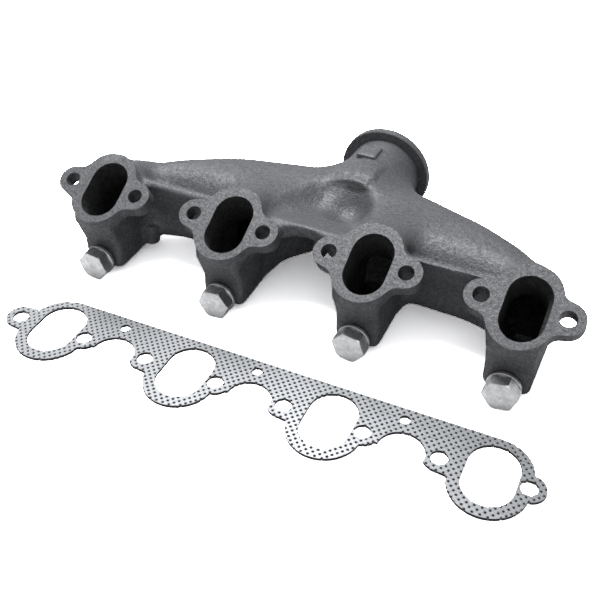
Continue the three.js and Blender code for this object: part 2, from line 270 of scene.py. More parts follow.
def joined(name, parts):
    """One object from several that do not touch."""
    work = bmesh.new()
    for piece in parts:
        work.from_mesh(piece.data)
        bpy.data.objects.remove(piece)
    mesh = bpy.data.meshes.new(name)
    work.to_mesh(mesh)
    work.free()
    made = bpy.data.objects.new(name, mesh)
    bpy.context.scene.collection.objects.link(made)
    return made


def combine(made, tool, operation):
    """Cuts or joins with a closed tool, which is used up."""
    modifier = made.modifiers.new("cut", "BOOLEAN")
    modifier.solver = "MANIFOLD"
    modifier.operation = operation
    modifier.object = tool
    bpy.context.view_layer.update()
    result = bpy.data.meshes.new_from_object(made.evaluated_get(bpy.context.evaluated_depsgraph_get()))
    made.modifiers.clear()
    old = made.data
    made.data = result
    bpy.data.meshes.remove(old)
    bpy.data.objects.remove(tool)
    if not len(result.polygons):
        raise RuntimeError(f"the {operation.lower()} left nothing of {made.name}")
    return made


def finish_shading(made, material_list, angle=35.0):
    """Smooth faces with sharp edges above an angle, and the object's materials."""
    made.data.materials.clear()
    for material in material_list:
        made.data.materials.append(material)
    made.data.shade_smooth()
    made.data.set_sharp_from_angle(angle=math.radians(angle))


# ---- Distance fields -----------------------------------------------------------------------------

def smooth_min(a, b, blend):
    """The lower of two fields, rounded where they differ by less than blend: a fillet between two solids."""
    share = np.maximum(blend - np.abs(a - b), 0) / blend
    return np.minimum(a, b) - share * share * blend / 4


def smooth_max(a, b, blend):
    """The higher of two fields, rounded in the same way."""
    return -smooth_min(-a, -b, blend)


def racetrack(x, v, radius, half):
    """Distance to an upright racetrack: a point's distance from a segment of half-length half, less the
    radius."""
    return np.hypot(x, np.maximum(np.abs(v) - half, 0)) - radius


def prism(outline, depth, low, high):
    """Distance to an outline pushed from depth low to depth high."""
    side = np.abs(depth - (low + high) / 2) - (high - low) / 2
    return np.minimum(np.maximum(outline, side), 0) + np.hypot(np.maximum(outline, 0), np.maximum(side, 0))


def capsule(x, y, z, start, end, start_radius, end_radius):
    """Distance to a line between two points, less a radius that changes evenly along it."""
    run = [end[i] - start[i] for i in range(3)]
    along = (x - start[0]) * run[0] + (y - start[1]) * run[1] + (z - start[2]) * run[2]
    share = np.clip(along / sum(step * step for step in run), 0, 1)
    gap = np.sqrt(sum((q - s - share * step) ** 2 for q, s, step in zip((x, y, z), start, run)))
    return gap - start_radius - share * (end_radius - start_radius)


def to_distance(field, cell):
    """A field divided by the length of its slope, which is the distance near its surface."""
    slopes = np.gradient(field, cell)
    steep = np.sqrt(sum(slope * slope for slope in slopes))
    return np.clip(field / np.maximum(steep, 1e-3), -0.03, 0.06)


def ramp(value, low, high):
    """0 below low, 1 above high, with a smooth S between."""
    share = np.clip((value - low) / (high - low), 0, 1)
    return share * share * (3 - 2 * share)


def ripple(x, y, z, size):
    """A slow unevenness between about -1 and 1: crossed sine waves of three unrelated lengths."""
    a = np.sin(x / size + 1.3 * np.sin(y / size * 0.7)) * np.cos(z / size * 1.1 + 0.8)
    b = np.sin(y / size * 1.7 + 2.1) * np.cos(x / size * 0.6 - z / size * 1.4)
    return (a + b) / 2


# ---- Casting -------------------------------------------------------------------------------------

# Places of the log and the webs are from the middle of the row, the line of bolt holes and the ground.
LOG_MIDDLE = 0.044
LOG_HALF = 0.031
OVAL_POWER = 2.6
SQUARE_POWER = 5.0
REAR_REACH = 0.166
REAR_SLOPE = 0.415
REAR_ROUND = 0.040
REAR_BULGE = 0.0078
BULGE_X = -0.110
BULGE_WIDTH = 0.055
BAY_FRONT = 0.034
NOTCH_FRONT = 0.076
NOTCH_FLAT = 0.015
NOTCH_FLANK = 0.042
LOW_FRONT = 0.007
SHOULDER_Z = 0.064
SHOULDER_FALL = 52.0
NOTCH_EASE = 15.0
CORNER_REACH = 0.1835
RIGHT_CORNER = 0.0035
END_REACH = 0.0175
END_ROUND = 0.032
THROAT = 0.0198
RIDGE_RADIUS = 0.0165
RIDGE_WIDEN = 1.3
RIDGE_START = (0, 0.022, 0.0780)
INNER_RIDGE_END = (0, 0.074, 0.0560)
OUTER_RIDGE_END = (0, 0.048, 0.0600)
LEG_HALF = 0.0193
WEB_DEPTH = 0.0085
WEB_OVERLAP = 0.011
MIDDLE_WEB_OVERLAP = 0.014
NECK_START = 0.105
LUG = ((-0.0090, 0.1460, 0.060), (0.0100, 0.1655, 0.0822))
TERRACES = (((0.001, 0.1010, 0.06), (0.020, 0.135, 0.10)), ((-0.020, 0.1120, 0.06), (0.023, 0.145, 0.10)))
TERRACE_HEIGHT = 0.0010
HOLLOW = (0.012, 0.078, 0.0725)
HOLLOW_RADIUS = 0.0170
PAD_SHIFT = 0.0245
PAD_Y = 0.028
PAD_RADIUS = 0.0070
GAS_RADIUS = 0.0150
BOLT_DEPTH = 0.050
OUTER_LEFT_DEPTH = 0.024
THIRD_LEFT_DEPTH = 0.085
SEAT_RADIUS = 0.0136


def log_front(x):
    """The front edge of the log: straight in the bays, with a straight-sided notch in the middle."""
    share = np.clip((np.abs(x) - NOTCH_FLAT) / (NOTCH_FLANK - NOTCH_FLAT), 0, 1)
    front = NOTCH_FRONT + (BAY_FRONT - NOTCH_FRONT) * share
    return front - 0.012 * ramp(np.abs(x), PITCH, PITCH * 1.5)


def log_field(x, y, z, inset, cell):
    """The collector log: at each x an oval in Y and Z, squarer low down at the front, from the front edge
    to a rear edge that slopes from the outlet to the ends. Its front shoulder slopes up and back, and each
    rear corner is cut off diagonally, the right-hand one a little further out."""
    off_outlet = x - (OUTLET_X - ROW_X)
    rear = REAR_REACH - REAR_SLOPE * np.sqrt(off_outlet ** 2 + REAR_ROUND ** 2) - inset
    rear = rear + REAR_BULGE * np.exp(-((x - BULGE_X) / BULGE_WIDTH) ** 2)
    low = (1 - ramp(z, 0.030, 0.050)) * (1 - ramp(np.abs(x), 0.015, 0.060))
    front = log_front(x) + inset - LOW_FRONT * low
    middle_y = (rear + front) / 2
    half_width = np.maximum((rear - front) / 2, 0.004)
    across = np.abs(y - middle_y) / half_width
    upward = np.abs(z - LOG_MIDDLE) / (LOG_HALF - inset)
    power = np.where((y < middle_y) & (z < LOG_MIDDLE), SQUARE_POWER, OVAL_POWER)
    oval = to_distance(((across ** power + upward ** power) ** (1 / power) - 1) * LOG_HALF, cell)
    step_back = 0.018 - 0.008 * ramp(x, 0.03, 0.07)
    fall = math.radians(SHOULDER_FALL) - math.radians(NOTCH_EASE) * (1 - ramp(np.abs(x), 0.015, 0.050))
    shoulder = np.cos(fall) * (z - SHOULDER_Z) - np.sin(fall) * (y - log_front(x) - step_back) + inset
    oval = smooth_max(oval, shoulder, 0.012)
    corner = 0.68 * np.abs(x) + 0.73 * y - CORNER_REACH - RIGHT_CORNER * (x > 0) + inset
    end = np.abs(x) - (PITCH * 1.5 + END_REACH - inset)
    return smooth_max(oval, smooth_max(corner, end, 0.030), END_ROUND)


def leg_field(x, y, z, inset):
    """The foot of a runner: an upright block with small corner fillets, which widens and leans back only
    just under the flange."""
    half_width = LEG_HALF + 0.0045 * ramp(z, 0.046, 0.068) - inset
    front = BOSS_Y - HOLE_Y - 0.0125 * np.clip((z - 0.029) / 0.033, 0, 1.2) + inset * 1.3
    bottom = 0.0022 + 0.06 * np.maximum(y - 0.004, 0) + inset
    sides = smooth_max(np.abs(x) - half_width, smooth_max(front - y, y - 0.052 + inset, 0.004), 0.006)
    return smooth_max(sides, smooth_max(bottom - z, z - 0.060 + inset, 0.004), 0.010)


def web_field(x, y, z, w, left, right):
    """A web between two ears: a strip just below the port face, with a flat wall that drops from its front
    edge to the underside of the log and a back that falls at 45 degrees into the valley before the log."""
    wall_top = np.array([0.0185, 0.0775])
    wall_foot = np.array([0.0415, 0.0200])
    lean = wall_foot - wall_top
    normal = np.array([lean[1], -lean[0]]) / np.hypot(*lean)
    wall = (y - wall_top[0]) * normal[0] + (z - wall_top[1]) * normal[1]
    top = w + WEB_DEPTH
    crest = 0.1075 - 0.0055 * ramp(x, -0.05, 0.05)
    back = 0.7071 * (y + z - crest)
    outline = smooth_max(smooth_max(wall, top, 0.003), back, 0.004)
    outline = smooth_max(outline, np.maximum(y - 0.062, 0.019 - z), 0.004)
    return np.maximum(outline, np.abs(x - (left + right) / 2) - (right - left) / 2)


def middle_web_field(x, y, z, w, left, right):
    """The middle web: a plate that spans the notch and slopes gently back to the log, with an arched front
    edge and an arched underside."""
    centre = (left + right) / 2
    sag = ((x - centre) / ((right - left) / 2)) ** 2
    top = w + WEB_DEPTH
    back = 0.355 * (y - 0.021) + 0.935 * (z - 0.0805)
    front = 0.0200 - 0.0110 * sag - y
    under = (0.0690 - 0.35 * (y - 0.018)) - 0.012 * sag - z
    plate = smooth_max(smooth_max(top, back, 0.004), smooth_max(front, under, 0.004), 0.003)
    ends = np.abs(x - centre) - (right - left) / 2 - MIDDLE_WEB_OVERLAP
    return np.maximum(np.maximum(plate, y - 0.090), ends)


def slab_field(x, y, z, low, high):
    """Distance to a box between two corners, its sharp edges kept."""
    sides = [np.abs(q - (a + b) / 2) - (b - a) / 2 for q, a, b in zip((x, y, z), low, high)]
    return np.maximum(np.maximum(sides[0], sides[1]), sides[2])


def face_coordinates(y, z):
    """How far up the port face, and how far out of it, points lie."""
    sine = -FACE_NORMAL[1]
    cosine = FACE_NORMAL[2]
    return y * cosine + (z - FACE_Z) * sine, -y * sine + (z - FACE_Z) * cosine


def neck_field(x, y, z, radius, start, end):
    """A round bar on the outlet's axis."""
    off_axis = np.hypot(x - (OUTLET_X - ROW_X), z - OUTLET_Z)
    return prism(off_axis - radius, y, start, end)


def runner_field(x, y, z, v, w, settings, ridge_end):
    """The outside of the runner whose port is at x = 0: the throat, a ridge that runs back over the log,
    the foot."""
    radius = THROAT + 0.0030 * ramp(w, -0.020, -0.010)
    throat = prism(racetrack(x, v, radius, settings.flange_half), w, -0.048, -0.006)
    ridge = capsule(x / RIDGE_WIDEN, y, z, RIDGE_START, ridge_end, RIDGE_RADIUS, RIDGE_RADIUS)
    return smooth_min(smooth_min(throat, ridge, 0.010), leg_field(x, y, z, 0.0), 0.006)


def flange_field(x, v, w, settings):
    """The flange of the port at x = 0, with its two ears and slightly rounded edges."""
    ears = [racetrack(x - side * settings.ear_reach, v, settings.ear_radius, 0) for side in (-1, 1)]
    outline = racetrack(x, v, settings.flange_radius, settings.flange_half)
    outline = smooth_min(outline, np.minimum(*ears), 0.011)
    return prism(outline + 0.001, w, 0.001 - settings.flange_depth, 0.003) - 0.001


def with_details(body, x, y, z, first_port):
    """The casting's small features: the lug before the outlet, the hollow, the two terraces and the foot
    pad."""
    body = smooth_min(body, slab_field(x, y, z, *LUG), 0.002)
    hollow = HOLLOW_RADIUS - np.sqrt(sum((q - place) ** 2 for q, place in zip((x, y, z), HOLLOW)))
    body = smooth_max(body, hollow, 0.010)
    for low, high in TERRACES:
        body = np.minimum(body, np.maximum(body - TERRACE_HEIGHT, slab_field(x, y, z, low, high)))
    pad = racetrack(x - first_port - PAD_SHIFT, y - PAD_Y, PAD_RADIUS, 0)
    return smooth_min(body, prism(pad, z, 0.0110, 0.030), 0.004)


def outer_field(x, y, z, settings, cell):
    """The outside of the casting: log, neck, runners, feet, flanges and webs, filleted where they meet."""
    v, w = face_coordinates(y, z)
    places = [port_x - ROW_X for port_x in PORT_X]
    neck_end = OUTLET_Y - HOLE_Y - settings.disc_depth + 0.002
    neck = neck_field(x, y, z, settings.neck_radius, NECK_START, neck_end)
    body = smooth_min(log_field(x, y, z, 0.0, cell), neck, 0.034 - 0.020 * ramp(z, 0.056, 0.076))
    for place in places:
        ridge_end = INNER_RIDGE_END if abs(place) < PITCH else OUTER_RIDGE_END
        body = smooth_min(body, runner_field(x - place, y, z, v, w, settings, ridge_end), 0.014)
    for left, right in zip(places[:-1], places[1:]):
        left_ear = left + settings.ear_reach
        right_ear = right - settings.ear_reach
        if left < 0 < right:
            web = middle_web_field(x, y, z, w, left_ear, right_ear)
            body = smooth_min(body, web, 0.006 + 0.014 * ramp(y, 0.035, 0.060))
        else:
            web = web_field(x, y, z, w, left_ear - WEB_OVERLAP, right_ear + WEB_OVERLAP)
            body = smooth_min(body, web, 0.006)
    for place in places:
        body = smooth_min(body, flange_field(x - place, v, w, settings), 0.004)
    body = with_details(body, x, y, z, places[0])
    top = z - SHAPES["manifold_casting"][1][2] + 0.0002
    return np.maximum(body + 0.00018 * (1 + ripple(x, y, z, 0.009)), top)


def gas_field(x, y, z, settings, cell):
    """The gas ways: the log, runners and feet again, smaller by the wall, and the ports themselves."""
    v, w = face_coordinates(y, z)
    neck = neck_field(x, y, z, settings.bore_radius, 0.108, OUTLET_Y - HOLE_Y + 0.006)
    body = smooth_min(log_field(x, y, z, settings.wall, cell), neck, 0.016)
    widen = ramp(w, -0.016, -0.005)
    radius = GAS_RADIUS + (settings.port_radius - GAS_RADIUS) * widen
    for port_x in PORT_X:
        px = port_x - ROW_X
        way = racetrack(x - px - 0.0018 * widen, v + 0.0013, radius, settings.port_half)
        runner = prism(way, w, -0.046, 0.006)
        leg = leg_field(x - px, y, z, settings.wall)
        body = smooth_min(body, smooth_min(runner, leg, 0.005), 0.008)
    return body + 0.00025 * ripple(x, y, z, 0.006)


def skin_of(name, field, cell):
    """The surface where a field is nothing, worked out on a grid of cells over the casting's box."""
    low, high = SHAPES["manifold_casting"]
    edge = 6 * cell
    axes = [np.arange(low[i] - edge, high[i] + edge, cell, dtype=np.float64) for i in range(3)]
    x, y, z = np.meshgrid(*axes, indexing="ij", sparse=True)
    values = field(x - ROW_X, y - HOLE_Y, z, cell)
    band = 3 * cell
    grid = openvdb.FloatGrid(band)
    grid.copyFromArray(np.clip(values, -band, band).astype(np.float32) / cell)
    points, triangles, quads = grid.convertToPolygons(isovalue=0.0, adaptivity=0.0)
    places = points * cell + np.array([axis[0] for axis in axes])
    faces = [face[::-1] for face in triangles.tolist()] + [face[::-1] for face in quads.tolist()]
    return tidy_mesh(new_object(name, places, faces))


def face_basis():
    """The port face's x, v and w directions as rows."""
    return np.array([[1.0, 0.0, 0.0], FACE_UP, FACE_NORMAL])


def face_point(x, v, w):
    """A point of the port face's coordinates in the part's frame."""
    return np.array([ROW_X, HOLE_Y, FACE_Z]) + np.array([x, v, w]) @ face_basis()


class MANIFOLD_OT_casting(bpy.types.Operator):
    """Build the iron casting: a cast skin, machined faces, bolt holes, plug seats and the outlet flange"""

    bl_idname = "manifold.casting"
    bl_label = "Casting"

    def execute(self, context):
        settings = context.scene.manifold_casting
        casting = skin_of("casting", lambda *at: outer_field(*at[:3], settings, at[3]), settings.cell)
        gas = skin_of("gas", lambda *at: gas_field(*at[:3], settings, at[3]), settings.bore_cell)
        outlet = (OUTLET_X, OUTLET_Y, OUTLET_Z)
        back = settings.disc_depth
        disc = turned("disc", [
            (0, -back), (settings.disc_radius - 0.0008, -back), (settings.disc_radius, -back + 0.0008),
            (settings.disc_radius, -0.0010), (settings.disc_radius - 0.0010, 0), (0, 0),
        ], outlet, (0, 1, 0), 128)
        combine(casting, disc, "UNION")
        combine(casting, gas, "DIFFERENCE")
        bore = turned("bore", [
            (0, -0.030), (settings.bore_radius, -0.030), (settings.bore_radius, -0.0012),
            (settings.bore_radius + 0.0030, 0.0018), (0, 0.0018),
        ], outlet, (0, 1, 0), 96)
        above = block("above", (-0.3, -0.05, 0), (0.3, 0.05, 0.02), face_point(0, 0, 0), face_basis())
        depths = {(1, -1): OUTER_LEFT_DEPTH, (3, -1): THIRD_LEFT_DEPTH}
        holes = []
        for i, port_x in zip(PORTS, PORT_X):
            for side in (-1, 1):
                place = face_point(port_x - ROW_X + side * settings.ear_reach, 0, 0)
                deep = -depths.get((i, side), BOLT_DEPTH)
                holes.append(turned("hole", [
                    (0, deep), (settings.bolt_radius, deep), (settings.bolt_radius, 0.002), (0, 0.002),
                ], place, FACE_NORMAL, 40))
            seat = (port_x, BOSS_Y, PLUG_Z)
            holes.append(turned("seat", [
                (0, -0.012), (SEAT_RADIUS, -0.012), (SEAT_RADIUS, 0), (settings.thread_radius + 0.0008, 0),
                (settings.thread_radius, 0.0008), (settings.thread_radius, 0.016), (0, 0.016),
            ], seat, (0, 1, 0), 48))
        combine(casting, above, "DIFFERENCE")
        combine(casting, joined("holes", holes), "DIFFERENCE")
        combine(casting, bore, "DIFFERENCE")
        # The third material is iron darkened as painted shade for the insides of the ports.
        finish_shading(casting, [sand_cast_iron(settings), milled_iron(settings), shaded_port_iron(settings)], 40.0)
        mark_milled(casting, settings)
        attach(casting, "casting")
        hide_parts("manifold_casting")
        return {"FINISHED"}


def per_face(mesh, measure):
    """Each face's centre or normal, as rows."""
    values = np.empty(len(mesh.polygons) * 3, np.float32)
    mesh.polygons.foreach_get(measure, values)
    return values.reshape(-1, 3)


def mark_milled(casting, settings):
    """Gives the second material to the machined faces, which lie in the planes of the port face, the outlet
    and the plug seats, and the third, iron darkened as painted shade, to the faces inside the ports."""
    mesh = casting.data
    centres = per_face(mesh, "center")
    normals = per_face(mesh, "normal")
    depth = (centres - np.array([ROW_X, HOLE_Y, FACE_Z])) @ FACE_NORMAL
    on_face = (np.abs(depth) < 0.0002) & (normals @ FACE_NORMAL > 0.99)
    on_outlet = (np.abs(centres[:, 1] - OUTLET_Y) < 0.0002) & (normals[:, 1] > 0.99)
    on_seat = (np.abs(centres[:, 1] - BOSS_Y) < 0.0002) & (normals[:, 1] < -0.99)
    index = (on_face | on_outlet | on_seat).astype(np.int32)
    along = (centres - np.array([ROW_X, HOLE_Y, FACE_Z])) @ FACE_UP
    for port_x in PORT_X:
        x = centres[:, 0] - port_x
        inside = racetrack(x, along, settings.port_radius + 0.003, settings.port_half) < 0
        facing_in = normals[:, 0] * x + (normals @ FACE_UP) * along < 0.002
        # Faces inside the ports get the darkened iron, which is painted shade.
        index[inside & facing_in & (depth < -0.0004) & (depth > -0.078) & (centres[:, 2] > 0.0055)] = 2
    mesh.polygons.foreach_set("material_index", index)


# ---- Plugs and washers ---------------------------------------------------------------------------

THREAD_DEPTH = 0.0009


def hexagon_radius(angle, flats):
    """The distance from the middle of a hexagon to its edge at each angle, a flat being at angle 0."""
    step = math.pi / 3
    return flats / 2 / np.cos((angle + step / 2) % step - step / 2)


def plug_surface(settings):
    """The rings of a plug about +Y from its face to its tip, seat at 0. Along the hexagon the radius is the
    hexagon's, and the chamfer starts where a 30 degree cone meets it, so it makes an arc on each flat.
    Along the shank it is a V that goes round once for each pitch."""
    columns = 96
    angle = np.linspace(0, 2 * math.pi, columns, endpoint=False)
    corner = settings.flats / 2 / math.cos(math.pi / 6)
    outline = hexagon_radius(angle, settings.flats)
    back = -settings.collar_depth
    front = back - settings.hex_length
    face_radius = corner - settings.chamfer
    slope = math.tan(math.radians(30))
    wide = settings.flats / 2 - 0.0006
    collar = settings.collar_radius
    root = settings.shank_radius - THREAD_DEPTH
    chamfer_depth = np.maximum(outline - face_radius, 0.0003) * slope
    rings = [
        (0, front + 0.0004), (0.0012, front + 0.0004), (0.0018, front),
        (np.minimum(face_radius, outline - 0.0003), front), (outline, front + chamfer_depth),
        (outline, back - 0.0012), (outline - 0.0004, back - 0.0008), (wide, back - 0.0008), (wide, back),
        (collar - 0.0005, back), (collar, back + 0.0005), (collar, -0.0005), (collar - 0.0005, 0),
        (root, 0), (root, 0.0008),
    ]
    steps = int(settings.shank_length / settings.pitch * 10)
    for share in np.linspace(0, 1, steps):
        along = 0.0010 + share * (settings.shank_length - 0.0020)
        phase = (along / settings.pitch - angle / (2 * math.pi)) % 1
        depth = np.abs(phase - 0.5) * 2 * THREAD_DEPTH
        ease = min(1.0, (1 - share) * steps / 12)
        rings.append((root + (THREAD_DEPTH - depth) * ease, along))
    rings += [(settings.shank_radius - 0.0016, settings.shank_length), (0, settings.shank_length)]
    radius, along = (np.array([ring[part] * np.ones(columns) for ring in rings]) for part in (0, 1))
    return np.stack([radius * np.sin(angle), along, radius * np.cos(angle)], axis=-1)


PLUG_TURNS = (8, -6, 10, -10)


class MANIFOLD_OT_plugs(bpy.types.Operator):
    """Build the four hexagon plugs with chamfered heads, collars and cut threads"""

    bl_idname = "manifold.plugs"
    bl_label = "Plugs"

    def execute(self, context):
        settings = context.scene.manifold_plugs
        surface = plug_surface(settings)
        steel = plated_steel(settings)
        for i, turn in zip(PORTS, PLUG_TURNS):
            node = f"air_port_plug_{i}"
            seat_y = float(SHAPES[node][1][1]) - settings.shank_length
            spin = Matrix.Rotation(math.radians(turn), 3, "Y")
            points = surface @ np.array(spin).T + np.array([PORT_X[i - 1], seat_y, PLUG_Z])
            plug = tidy_mesh(new_object(f"plug_{i}", points, grid_faces(*surface.shape[:2])))
            finish_shading(plug, [steel], 28.0)
            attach(plug, f"plug_{i}")
            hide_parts(node)
        return {"FINISHED"}


class MANIFOLD_OT_washers(bpy.types.Operator):
    """Build the four sealing washers as rings with rounded rims"""

    bl_idname = "manifold.washers"
    bl_label = "Washers"

    def execute(self, context):
        settings = context.scene.manifold_plugs
        steel = turned_steel(settings)
        for i in PORTS:
            node = f"plug_washer_{i}"
            low, high = SHAPES[node]
            outer = (high[0] - low[0]) / 2
            inner = settings.shank_radius + 0.0003
            middle_y = (low[1] + high[1]) / 2
            half = (high[1] - low[1]) / 2
            angle = np.linspace(0, 2 * math.pi, 72, endpoint=False)
            corner = np.linspace(0, 2 * math.pi, 16, endpoint=False)
            wide = (outer - inner) / 2
            across = np.sign(np.cos(corner)) * np.abs(np.cos(corner)) ** 0.3 * wide + (outer + inner) / 2
            along = np.sign(np.sin(corner)) * np.abs(np.sin(corner)) ** 0.3 * half + middle_y
            points = np.stack([
                PORT_X[i - 1] + across[:, None] * np.sin(angle),
                along[:, None] + 0 * angle,
                PLUG_Z + across[:, None] * np.cos(angle),
            ], axis=-1)
            rows = np.concatenate([points, points[:1]])
            washer = tidy_mesh(new_object(f"washer_{i}", rows, grid_faces(*rows.shape[:2])))
            finish_shading(washer, [steel], 40.0)
            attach(washer, f"washer_{i}")
            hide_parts(node)
        return {"FINISHED"}


# ---- Gasket --------------------------------------------------------------------------------------

def outline_solid(name, outlines, low, high):
    """Upright solids between two heights, one for each convex outline in X and Y."""
    parts = []
    for outline in outlines:
        count = len(outline)
        points = np.concatenate([np.column_stack([outline, np.full(count, height)]) for height in (low, high)])
        faces = grid_faces(2, count) + [list(range(count))[::-1], list(range(count, 2 * count))]
        parts.append(tidy_mesh(new_object(name, points, faces)))
    return joined(name, parts)


def round_outline(x, y, radius, half=0.0, steps=24):
    """An upright racetrack outline: a circle whose upper half is moved up by half and whose lower half is
    moved down."""
    angle = np.linspace(0, 2 * math.pi, 2 * steps, endpoint=False) + math.pi / (2 * steps)
    height = y + radius * np.sin(angle) + half * np.sign(np.sin(angle))
    return np.stack([x + radius * np.cos(angle), height], axis=-1)


def hull_outline(circles):
    """The convex outline round several circles (x, y, radius): at each angle the circle that reaches
    furthest."""
    angle = np.linspace(0, 2 * math.pi, 96, endpoint=False)
    reach = np.array([x * np.cos(angle) + y * np.sin(angle) + radius for x, y, radius in circles])
    best = np.array(circles)[np.argmax(reach, axis=0)]
    return best[:, :2] + best[:, 2:] * np.stack([np.cos(angle), np.sin(angle)], axis=-1)


def gasket_layer(name, low, high, settings):
    """One layer of the gasket in its own coordinates: the strip, the port rims and the ears, less the
    openings."""
    row = [x - ROW_X for x in PORT_X]
    reach = settings.ear_reach
    middles = [x + settings.port_shift for x in row]
    rim = settings.port_radius + settings.rim
    arch_y = settings.arch_top - settings.arch_radius
    strip = np.array([
        (row[0], arch_y), (row[-1], arch_y), (middles[-1], settings.edge), (middles[0], settings.edge),
    ])
    layer = outline_solid(name, [strip], low, high)
    rim_y = -(rim + settings.port_half - settings.edge) / 2
    rim_half = settings.edge / 2 + settings.port_half / 2 - rim / 2
    rims = [round_outline(x, rim_y, rim - 0.0001, rim_half) for x in middles]
    combine(layer, outline_solid("rims", rims, low, high), "UNION")
    combine(layer, outline_solid("ears", [
        hull_outline([(x + side * reach, 0, settings.ear_radius),
                      (x + settings.port_shift + side * settings.port_radius, 0, settings.rim + 0.004)])
        for x in row for side in (-1, 1)
    ], low, high), "UNION")
    cuts = [round_outline(x, 0, settings.port_radius, settings.port_half, 32) for x in middles]
    cuts += [round_outline(x + side * reach, 0, settings.bolt_radius) for x in row for side in (-1, 1)]
    for left, right in zip(row[:-1], row[1:]):
        bay = (left + right) / 2
        cuts.append(round_outline(bay + settings.arch_shift, arch_y, settings.arch_radius))
        cuts.append(round_outline(bay - settings.pin_shift, settings.pin_height, settings.pin_radius, 0, 12))
    return combine(layer, outline_solid("cuts", cuts, low - 0.001, high + 0.001), "DIFFERENCE")


def crater_cutters(low, high, settings, flare):
    """A small many-sided cutter for each perforation, in staggered rows: straight, with a cone at the top
    if flared."""
    sides = 8
    angle = np.linspace(0, 2 * math.pi, sides, endpoint=False)
    narrow = settings.hole_radius
    wide = settings.hole_radius + flare
    profile = ((narrow, low - 0.001), (narrow, high - flare * 0.55), (wide, high), (wide, high + 0.001))
    rings = np.array([
        np.stack([radius * np.cos(angle), radius * np.sin(angle), np.full(sides, height)], axis=-1)
        for radius, height in profile
    ])
    count = len(rings)
    shape = rings.reshape(-1, 3)
    ends = [list(range(sides))[::-1], list(range((count - 1) * sides, count * sides))]
    faces = grid_faces(count, sides) + ends
    half_length = (PORT_X[-1] - PORT_X[0]) / 2 + 0.055
    points = []
    corners = []
    for j in range(-13, 13):
        y = settings.lattice_y + j * settings.hole_rise
        start = settings.lattice_x + (j % 2) * settings.hole_pitch / 2
        for i in range(-44, 46):
            x = start + i * settings.hole_pitch
            if abs(x) < half_length and -0.040 < y < settings.edge + 0.002:
                corners += [[corner + len(points) * len(shape) for corner in face] for face in faces]
                points.append(shape + np.array([x, y, 0]))
    return new_object("perforations", np.concatenate(points), corners)


def laid_out(made, settings):
    """Moves a gasket layer's points from its own coordinates to its place before the manifold."""
    mesh = made.data
    points = np.empty(len(mesh.vertices) * 3)
    mesh.vertices.foreach_get("co", points)
    points = points.reshape(-1, 3)
    turn = settings.turn
    x = points[:, 0] * math.cos(turn) - points[:, 1] * math.sin(turn) + settings.shift_x + ROW_X
    y = points[:, 0] * math.sin(turn) + points[:, 1] * math.cos(turn) - settings.gap + HOLE_Y
    mesh.vertices.foreach_set("co", np.column_stack([x, y, points[:, 2]]).ravel())
    mesh.update()
    return made


def mark_shaded_sides(layer):
    """Gives the upright faces, the edges and the walls of the perforations, the dark second material, which is
    graphite: on the steel skins it is painted shade along their sides and in their holes.
    """
    mesh = layer.data
    upright = np.abs(per_face(mesh, "normal")[:, 2]) < 0.3
    mesh.polygons.foreach_set("material_index", upright.astype(np.int32))


class MANIFOLD_OT_gasket(bpy.types.Operator):
    """Build the port gasket: two steel skins pierced by staggered craters, and the graphite core between
    them"""

    bl_idname = "manifold.gasket"
    bl_label = "Gasket"

    def execute(self, context):
        settings = context.scene.manifold_gasket
        steel = gasket_steel(settings)
        core = graphite(settings)
        plans = (
            ("gasket_bottom_skin", steel, "gasket_steel", 0.0), ("gasket_core", core, "graphite", None),
            ("gasket_top_skin", steel, "gasket_steel", settings.flare),
        )
        for node, material, slot, flare in plans:
            low, high = (float(corner[2]) for corner in SHAPES[node])
            layer = gasket_layer(node + "_finish", low, high, settings)
            if flare is not None:
                combine(layer, crater_cutters(low, high, settings, max(flare, 0.00002)), "DIFFERENCE")
            laid_out(layer, settings)
            finish_shading(layer, [material, core], 20.0)
            # The skins' upright faces get the dark graphite as painted shade.
            mark_shaded_sides(layer)
            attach(layer, "gasket")
            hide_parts(node)
        return {"FINISHED"}


# ---- Materials -----------------------------------------------------------------------------------

def new_material(name):
    """A material with its node tree, its Principled shader and the Object coordinates."""
    material = bpy.data.materials.new(name)
    material.use_nodes = True
    tree = material.node_tree
    shader = tree.nodes["Principled BSDF"]
    coordinates = tree.nodes.new("ShaderNodeTexCoord")
    return material, tree, shader, coordinates.outputs["Object"]


def group_with(name, inputs, outputs):
    """An empty shader node group with named float inputs and outputs."""
    tree = bpy.data.node_groups.new(name, "ShaderNodeTree")
    for socket, value in inputs.items():
        kind = "NodeSocketVector" if value is None else "NodeSocketFloat"
        made = tree.interface.new_socket(name=socket, in_out="INPUT", socket_type=kind)
        if value is not None:
            made.default_value = value
    for socket in outputs:
        tree.interface.new_socket(name=socket, in_out="OUTPUT", socket_type="NodeSocketFloat")
    return tree, tree.nodes.new("NodeGroupInput"), tree.nodes.new("NodeGroupOutput")


def noise(tree, vector, scale, detail=2.0, roughness=0.5):
    """A noise texture whose scale is features per metre."""
    node = tree.nodes.new("ShaderNodeTexNoise")
    tree.links.new(vector, node.inputs["Vector"])
    node.inputs["Scale"].default_value = scale
    node.inputs["Detail"].default_value = detail
    node.inputs["Roughness"].default_value = roughness
    return node.outputs["Fac"]


def maths(tree, operation, a, b):
    """A math node on two values or sockets."""
    node = tree.nodes.new("ShaderNodeMath")
    node.operation = operation
    for slot, value in zip(node.inputs, (a, b)):
        if isinstance(value, (int, float)):
            slot.default_value = value
        else:
            tree.links.new(value, slot)
    return node.outputs[0]


def spread(tree, value, low, high, to_low, to_high):
    """A value moved from one range to another, kept inside it."""
    node = tree.nodes.new("ShaderNodeMapRange")
    tree.links.new(value, node.inputs["Value"])
    for socket, number in zip(("From Min", "From Max", "To Min", "To Max"), (low, high, to_low, to_high)):
        node.inputs[socket].default_value = number
    return node.outputs["Result"]


